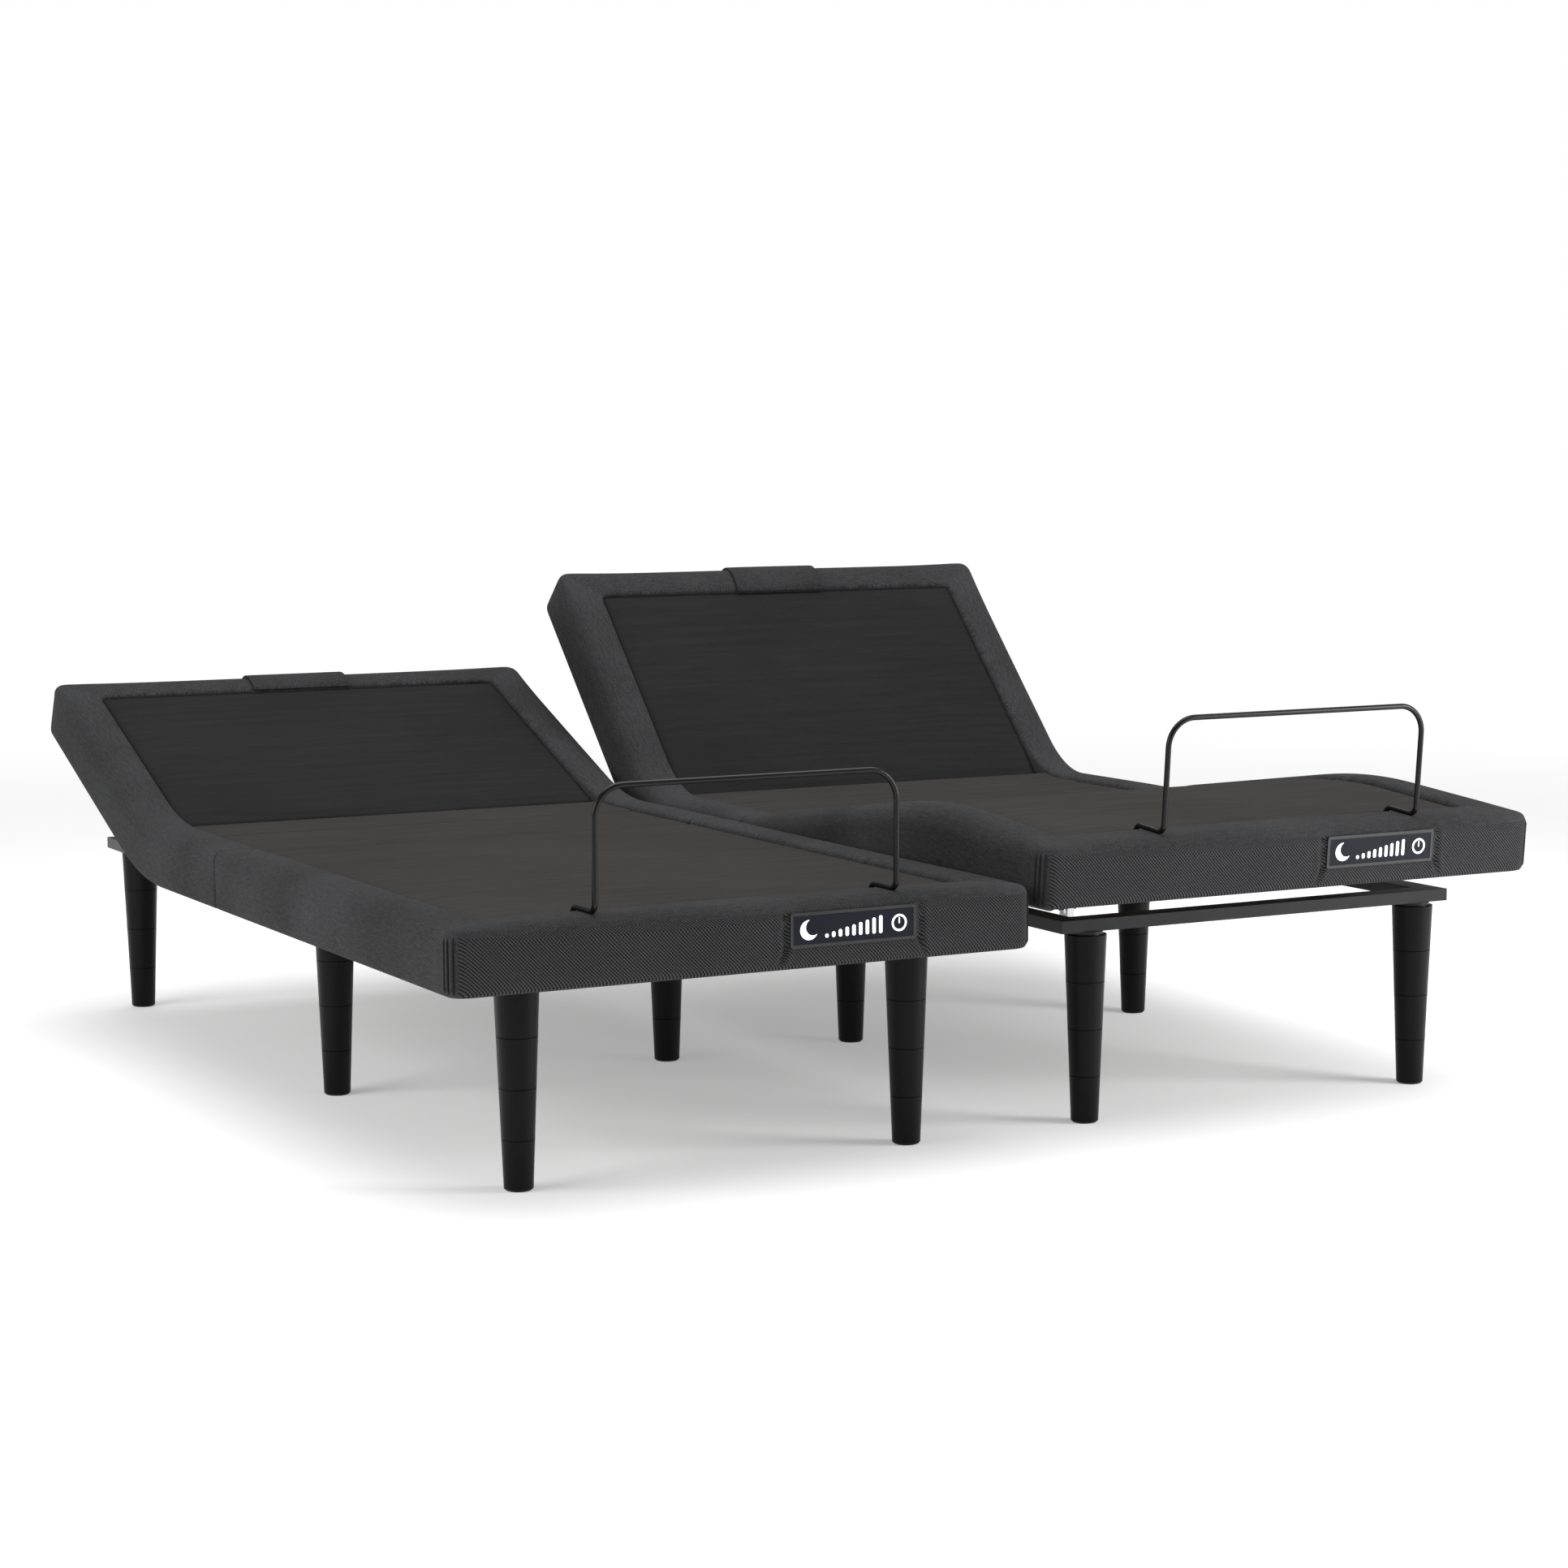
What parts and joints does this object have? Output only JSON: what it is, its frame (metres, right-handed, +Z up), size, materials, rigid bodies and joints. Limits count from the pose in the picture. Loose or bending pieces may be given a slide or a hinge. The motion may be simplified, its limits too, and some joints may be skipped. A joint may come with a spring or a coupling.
{
  "type": "adjustable bed base",
  "caption": "Split adjustable bed base: padded modules side by side on tapered legs, with powered head and leg sections, mattress retainer bars and lit plates at the foot.",
  "frame": {"origin": "on the floor under the middle of the whole base at rest", "axes": "+X across the base to the right module, +Y along it from the foot to the head, +Z up"},
  "size_m": [1.9532, 2.0087, 0.821],
  "materials": {
    "leg_finish": "satin black",
    "frame_paint": "gloss black",
    "bare_steel": "zinc plated",
    "bar_paint": "gloss black powder coat",
    "deck_board": "raw plywood",
    "deck_cloth": "matte woven cloth",
    "border_cloth": "charcoal knitted cloth",
    "mesh_cloth": "dark spacer mesh",
    "motor_case": "fine grain",
    "light_case": "gloss black",
    "light_lens": "frosted, lit from behind"
  },
  "bodies": {
    "base": {"legs": "leg_finish", "leg_studs": "bare_steel", "hinge_bolts": "bare_steel", "joining_plates": "frame_paint", "left_base_frame": "frame_paint", "left_seat_board": "deck_board", "left_seat_pad": "deck_cloth", "left_seat_border": "border_cloth", "left_head_motor": "motor_case", "left_leg_motor": "motor_case", "left_control_box": "motor_case", "right_base_frame": "frame_paint", "right_seat_board": "deck_board", "right_seat_pad": "deck_cloth", "right_seat_border": "border_cloth", "right_head_motor": "motor_case", "right_leg_motor": "motor_case", "right_control_box": "motor_case"},
    "left_head": {"left_head_frame": "frame_paint", "left_head_board": "deck_board", "left_head_pad": "deck_cloth", "left_head_border": "border_cloth", "left_head_flap": "border_cloth"},
    "left_thigh": {"left_thigh_frame": "frame_paint", "left_thigh_board": "deck_board", "left_thigh_pad": "deck_cloth", "left_thigh_border": "border_cloth"},
    "left_calf": {"left_calf_frame": "frame_paint", "left_calf_board": "deck_board", "left_calf_pad": "deck_cloth", "left_calf_border": "mesh_cloth", "left_retainer_bar": "bar_paint", "left_light_case": "light_case", "left_light_lens": "light_lens"},
    "left_head_lift": {"left_head_lift": "frame_paint"},
    "left_leg_lift": {"left_leg_lift": "frame_paint"},
    "left_calf_link": {"left_calf_links": "frame_paint"},
    "left_head_rod": {"left_head_motor_rod": "bare_steel"},
    "left_leg_rod": {"left_leg_motor_rod": "bare_steel"},
    "right_head": {"right_head_frame": "frame_paint", "right_head_board": "deck_board", "right_head_pad": "deck_cloth", "right_head_border": "border_cloth", "right_head_flap": "border_cloth"},
    "right_thigh": {"right_thigh_frame": "frame_paint", "right_thigh_board": "deck_board", "right_thigh_pad": "deck_cloth", "right_thigh_border": "border_cloth"},
    "right_calf": {"right_calf_frame": "frame_paint", "right_calf_board": "deck_board", "right_calf_pad": "deck_cloth", "right_calf_border": "mesh_cloth", "right_retainer_bar": "bar_paint", "right_light_case": "light_case", "right_light_lens": "light_lens"},
    "right_head_lift": {"right_head_lift": "frame_paint"},
    "right_leg_lift": {"right_leg_lift": "frame_paint"},
    "right_calf_link": {"right_calf_links": "frame_paint"},
    "right_head_rod": {"right_head_motor_rod": "bare_steel"},
    "right_leg_rod": {"right_leg_motor_rod": "bare_steel"}
  },
  "joints": [
    {"name": "left_head_hinge", "type": "hinge", "parent": "base", "child": "left_head", "pos_m": [-0.494, 0.43113, 0.366], "axis": [1, 0, 0], "range_deg": [-22, 43]},
    {"name": "left_thigh_hinge", "type": "hinge", "parent": "base", "child": "left_thigh", "pos_m": [-0.494, 0.01313, 0.366], "axis": [-1, 0, 0], "range_deg": [0, 32]},
    {"name": "left_knee_hinge", "type": "hinge", "parent": "left_thigh", "child": "left_calf", "pos_m": [-0.494, -0.60287, 0.366], "axis": [1, 0, 0], "range_deg": [-0.02, 50.9]},
    {"name": "left_head_lift_turn", "type": "hinge", "parent": "base", "child": "left_head_lift", "pos_m": [-0.494, 0.41113, 0.308], "axis": [1, 0, 0], "range_deg": [-18.43, 36.01]},
    {"name": "left_leg_lift_turn", "type": "hinge", "parent": "base", "child": "left_leg_lift", "pos_m": [-0.494, -0.13287, 0.308], "axis": [-1, 0, 0], "range_deg": [-0.02, 46.27]},
    {"name": "left_calf_link_turn", "type": "hinge", "parent": "base", "child": "left_calf_link", "pos_m": [-0.494, -0.60287, 0.339], "axis": [-1, 0, 0], "range_deg": [-0.02, 49.11]},
    {"name": "left_head_rod_slide", "type": "slide", "parent": "base", "child": "left_head_rod", "axis": [0, 1, 0], "range_m": [-0.02632, 0.05143]},
    {"name": "left_leg_rod_slide", "type": "slide", "parent": "base", "child": "left_leg_rod", "axis": [0, -1, 0], "range_m": [-0.00002, 0.06678]},
    {"name": "right_head_hinge", "type": "hinge", "parent": "base", "child": "right_head", "pos_m": [0.494, 0.43113, 0.366], "axis": [1, 0, 0], "range_deg": [-46, 19]},
    {"name": "right_thigh_hinge", "type": "hinge", "parent": "base", "child": "right_thigh", "pos_m": [0.494, 0.01313, 0.366], "axis": [-1, 0, 0], "range_deg": [-8, 24]},
    {"name": "right_knee_hinge", "type": "hinge", "parent": "right_thigh", "child": "right_calf", "pos_m": [0.494, -0.59688, 0.45173], "axis": [1, 0, 0], "range_deg": [-12.74, 38.18]},
    {"name": "right_head_lift_turn", "type": "hinge", "parent": "base", "child": "right_head_lift", "pos_m": [0.494, 0.41113, 0.308], "axis": [1, 0, 0], "range_deg": [-38.52, 15.92]},
    {"name": "right_leg_lift_turn", "type": "hinge", "parent": "base", "child": "right_leg_lift", "pos_m": [0.494, -0.13287, 0.308], "axis": [-1, 0, 0], "range_deg": [-11.58, 34.71]},
    {"name": "right_calf_link_turn", "type": "hinge", "parent": "base", "child": "right_calf_link", "pos_m": [0.494, -0.60287, 0.339], "axis": [-1, 0, 0], "range_deg": [-12.29, 36.83]},
    {"name": "right_head_rod_slide", "type": "slide", "parent": "base", "child": "right_head_rod", "axis": [0, 1, 0], "range_m": [-0.05502, 0.02274]},
    {"name": "right_leg_rod_slide", "type": "slide", "parent": "base", "child": "right_leg_rod", "axis": [0, -1, 0], "range_m": [-0.01671, 0.05009]}
  ],
  "couplings": [
    {"joint": "left_knee_hinge", "follows": "left_thigh_hinge", "ratio": 1.59},
    {"joint": "left_head_lift_turn", "follows": "left_head_hinge", "ratio": 0.83702},
    {"joint": "left_leg_lift_turn", "follows": "left_thigh_hinge", "ratio": 1.4453},
    {"joint": "left_calf_link_turn", "follows": "left_thigh_hinge", "ratio": 1.5339},
    {"joint": "left_head_rod_slide", "follows": "left_head_hinge", "m_per_rad": 0.068504},
    {"joint": "left_leg_rod_slide", "follows": "left_thigh_hinge", "m_per_rad": 0.11954},
    {"joint": "right_knee_hinge", "follows": "right_thigh_hinge", "ratio": 1.59},
    {"joint": "right_head_lift_turn", "follows": "right_head_hinge", "ratio": 0.83702},
    {"joint": "right_leg_lift_turn", "follows": "right_thigh_hinge", "ratio": 1.4453},
    {"joint": "right_calf_link_turn", "follows": "right_thigh_hinge", "ratio": 1.5339},
    {"joint": "right_head_rod_slide", "follows": "right_head_hinge", "m_per_rad": 0.068504},
    {"joint": "right_leg_rod_slide", "follows": "right_thigh_hinge", "m_per_rad": 0.11954}
  ]
}
